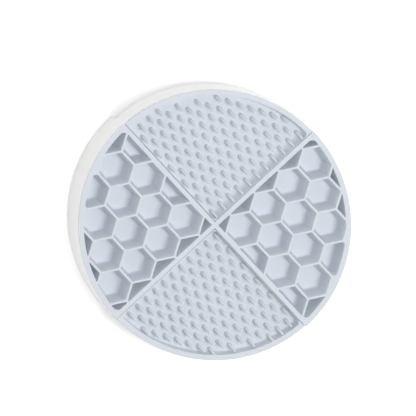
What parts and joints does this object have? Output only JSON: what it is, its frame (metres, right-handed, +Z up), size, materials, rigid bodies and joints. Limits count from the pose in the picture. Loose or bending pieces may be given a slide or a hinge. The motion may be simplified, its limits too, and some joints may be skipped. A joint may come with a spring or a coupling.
{
  "type": "lick mat",
  "caption": "Round slow-feeding lick mat: rigid base with finger arches, lift-out silicone honeycomb frame with crossing dividers, and lift-out silicone nub trays in the other quarters.",
  "frame": {"origin": "middle of the underside, on the surface that the feet stand on", "axes": "+Z up; +Y to the rear nub tray; +X to the right honeycomb quarter"},
  "size_m": [0.15, 0.1494, 0.0184],
  "materials": {
    "base_plastic": "fine satin moulded white plastic",
    "frame_silicone": "matt pale blue-grey moulded silicone",
    "tray_silicone": "matt pale blue-grey moulded silicone",
    "foot_rubber": "matt grey rubber"
  },
  "bodies": {
    "base": {"base_shell": "base_plastic", "foot_pad_left_rear": "foot_rubber", "foot_pad_left_front": "foot_rubber", "foot_pad_right_rear": "foot_rubber", "foot_pad_right_front": "foot_rubber"},
    "frame": {"honeycomb_frame": "frame_silicone"},
    "tray_rear": {"nub_tray_rear": "tray_silicone"},
    "tray_front": {"nub_tray_front": "tray_silicone"}
  },
  "joints": [
    {"name": "frame_lift", "type": "slide", "parent": "base", "child": "frame", "axis": [0, 0, 1], "range_m": [0, 0.04]},
    {"name": "tray_rear_lift", "type": "slide", "parent": "base", "child": "tray_rear", "axis": [0, 0, 1], "range_m": [0, 0.04]},
    {"name": "tray_front_lift", "type": "slide", "parent": "base", "child": "tray_front", "axis": [0, 0, 1], "range_m": [0, 0.04]}
  ]
}
